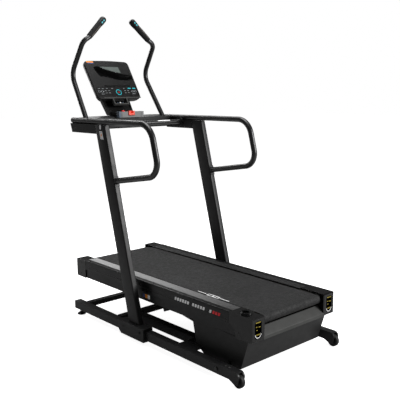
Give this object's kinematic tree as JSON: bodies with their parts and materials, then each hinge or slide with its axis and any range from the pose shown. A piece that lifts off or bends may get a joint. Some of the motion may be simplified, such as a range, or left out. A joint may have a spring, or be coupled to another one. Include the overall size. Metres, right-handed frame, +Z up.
{
  "type": "incline trainer treadmill",
  "caption": "Motorised incline treadmill: flat belt deck hinged at the rear, leaning uprights, side handrail loops, tall climbing handlebars and a tilted console.",
  "frame": {"origin": "on the floor under the middle of the bounding box", "axes": "+X to the user's right, +Y the way the user faces (towards the console), +Z up"},
  "size_m": [0.864, 1.753, 1.9542],
  "materials": {
    "frame_paint": "satin black powder coat",
    "console_plastic": "fine-grained black",
    "trim_plastic": "fine-grained dark grey",
    "cap_plastic": "fine-grained black",
    "screen": "glossy, almost black",
    "silver_plastic": "metallic silver-grey",
    "red_plastic": "smooth signal red",
    "cyan_plastic": "smooth blue-green",
    "grip_rubber": "closed-cell foam",
    "tyre_rubber": "matt",
    "belt": "fine woven-textured black",
    "foot_rail_grey": "ribbed satin grey",
    "board": "waxed dark laminate",
    "bare_steel": "turned steel",
    "motor_steel": "semi-gloss dark grey"
  },
  "bodies": {
    "stand": {"left_base_rail": "frame_paint", "right_base_rail": "frame_paint", "left_upright_socket": "frame_paint", "right_upright_socket": "frame_paint", "left_upright": "frame_paint", "right_upright": "frame_paint", "left_handrail": "frame_paint", "right_handrail": "frame_paint", "left_climb_bar": "frame_paint", "right_climb_bar": "frame_paint", "front_cross_tube": "frame_paint", "mid_cross_tube": "frame_paint", "lift_subframe": "frame_paint", "hand_cross_tube": "frame_paint", "console_frame": "console_plastic", "console_neck": "console_plastic", "console_shell": "console_plastic", "console_fascia": "console_plastic", "keypad": "console_plastic", "port_bezel": "trim_plastic", "display_lens": "screen", "safety_module": "silver_plastic", "left_grip": "grip_rubber", "right_grip": "grip_rubber", "pivot_shaft": "bare_steel"},
    "deck": {"deck_frame": "frame_paint", "left_foot_rail": "foot_rail_grey", "right_foot_rail": "foot_rail_grey", "running_board": "board", "running_belt": "belt", "left_front_cap": "cap_plastic", "right_front_cap": "cap_plastic", "left_rear_cap": "cap_plastic", "right_rear_cap": "cap_plastic", "rear_cover": "trim_plastic", "motor_housing": "cap_plastic", "drive_motor": "motor_steel", "drive_belt": "tyre_rubber", "power_inlet": "cap_plastic"},
    "left_wheel": {"left_wheel": "tyre_rubber"},
    "right_wheel": {"right_wheel": "tyre_rubber"},
    "left_foot": {"left_foot": "tyre_rubber"},
    "right_foot": {"right_foot": "tyre_rubber"},
    "lift_arm": {"lift_arm": "frame_paint"},
    "lift_motor": {"lift_motor": "motor_steel"},
    "lift_tube": {"lift_tube": "bare_steel"},
    "front_roller": {"front_roller": "bare_steel"},
    "drive_roller": {"drive_roller": "bare_steel"},
    "motor_rotor": {"motor_rotor": "bare_steel"},
    "power_switch": {"power_switch": "red_plastic"},
    "stop_button": {"stop_button": "red_plastic"},
    "safety_key": {"safety_key": "red_plastic"},
    "start_button": {"start_button": "cyan_plastic"},
    "speed_key": {"speed_key": "cyan_plastic"},
    "incline_key": {"incline_key": "cyan_plastic"},
    "left_grip_button_up": {"left_grip_button_up": "cyan_plastic"},
    "left_grip_button_down": {"left_grip_button_down": "cyan_plastic"},
    "right_grip_button_up": {"right_grip_button_up": "cyan_plastic"},
    "right_grip_button_down": {"right_grip_button_down": "cyan_plastic"}
  },
  "joints": [
    {"name": "deck_incline", "type": "hinge", "parent": "stand", "child": "deck", "pos_m": [0, -0.701, 0.062], "axis": [1, 0, 0], "range_deg": [0, 20]},
    {"name": "lift_arm_swing", "type": "hinge", "parent": "stand", "child": "lift_arm", "pos_m": [0, -0.174, 0.11], "axis": [1, 0, 0], "range_deg": [0, 40.1]},
    {"name": "lift_motor_swing", "type": "hinge", "parent": "stand", "child": "lift_motor", "pos_m": [0, 0.17, 0.08], "axis": [1, 0, 0], "range_deg": [0, 7.1]},
    {"name": "lift_tube_stroke", "type": "slide", "parent": "lift_motor", "child": "lift_tube", "axis": [0, -0.9232, 0.3843], "range_m": [0, 0.0625]},
    {"name": "drive_roller_spin", "type": "hinge", "parent": "deck", "child": "drive_roller", "pos_m": [0, -0.834, 0.3193], "axis": [1, 0, 0], "continuous": true},
    {"name": "front_roller_spin", "type": "hinge", "parent": "deck", "child": "front_roller", "pos_m": [0, 0.715, 0.309], "axis": [1, 0, 0], "continuous": true},
    {"name": "motor_rotor_spin", "type": "hinge", "parent": "deck", "child": "motor_rotor", "pos_m": [0, -0.604, 0.137], "axis": [1, 0, 0], "continuous": true},
    {"name": "left_wheel_spin", "type": "hinge", "parent": "stand", "child": "left_wheel", "pos_m": [-0.391, -0.841, 0.0355], "axis": [1, 0, 0], "continuous": true},
    {"name": "right_wheel_spin", "type": "hinge", "parent": "stand", "child": "right_wheel", "pos_m": [0.391, -0.841, 0.0355], "axis": [1, 0, 0], "continuous": true},
    {"name": "left_foot_height", "type": "slide", "parent": "stand", "child": "left_foot", "axis": [0, 0, -1], "range_m": [0, 0.012]},
    {"name": "right_foot_height", "type": "slide", "parent": "stand", "child": "right_foot", "axis": [0, 0, -1], "range_m": [0, 0.012]},
    {"name": "power_switch_rock", "type": "hinge", "parent": "deck", "child": "power_switch", "pos_m": [-0.215, -0.4135, 0.1811], "axis": [1, 0, 0], "range_deg": [-16, 0]},
    {"name": "stop_button_press", "type": "slide", "parent": "stand", "child": "stop_button", "axis": [0, 0, -1], "range_m": [0, 0.004], "stiffness_N_per_m": 900, "springref_m": -0.0015},
    {"name": "safety_key_pull", "type": "slide", "parent": "stand", "child": "safety_key", "axis": [0, -1, 0], "range_m": [0, 0.03]},
    {"name": "start_button_press", "type": "slide", "parent": "stand", "child": "start_button", "axis": [0, 0.8346, -0.5509], "range_m": [0, 0.0015], "stiffness_N_per_m": 900, "springref_m": -0.0008},
    {"name": "speed_key_press", "type": "slide", "parent": "stand", "child": "speed_key", "axis": [0, 0.8346, -0.5509], "range_m": [0, 0.0012], "stiffness_N_per_m": 900, "springref_m": -0.0008},
    {"name": "incline_key_press", "type": "slide", "parent": "stand", "child": "incline_key", "axis": [0, 0.8346, -0.5509], "range_m": [0, 0.0012], "stiffness_N_per_m": 900, "springref_m": -0.0008},
    {"name": "left_grip_button_up_press", "type": "slide", "parent": "stand", "child": "left_grip_button_up", "axis": [0, 1, 0], "range_m": [0, 0.0018], "stiffness_N_per_m": 900, "springref_m": -0.0008},
    {"name": "left_grip_button_down_press", "type": "slide", "parent": "stand", "child": "left_grip_button_down", "axis": [0, 1, 0], "range_m": [0, 0.0018], "stiffness_N_per_m": 900, "springref_m": -0.0008},
    {"name": "right_grip_button_up_press", "type": "slide", "parent": "stand", "child": "right_grip_button_up", "axis": [0, 1, 0], "range_m": [0, 0.0018], "stiffness_N_per_m": 900, "springref_m": -0.0008},
    {"name": "right_grip_button_down_press", "type": "slide", "parent": "stand", "child": "right_grip_button_down", "axis": [0, 1, 0], "range_m": [0, 0.0018], "stiffness_N_per_m": 900, "springref_m": -0.0008}
  ],
  "couplings": [
    {"joint": "lift_arm_swing", "follows": "deck_incline", "ratio": 2},
    {"joint": "lift_motor_swing", "follows": "deck_incline", "ratio": 0.34846},
    {"joint": "lift_tube_stroke", "follows": "deck_incline", "m_per_rad": 0.17792},
    {"joint": "front_roller_spin", "follows": "drive_roller_spin", "ratio": 1},
    {"joint": "motor_rotor_spin", "follows": "drive_roller_spin", "ratio": 1.4667}
  ]
}
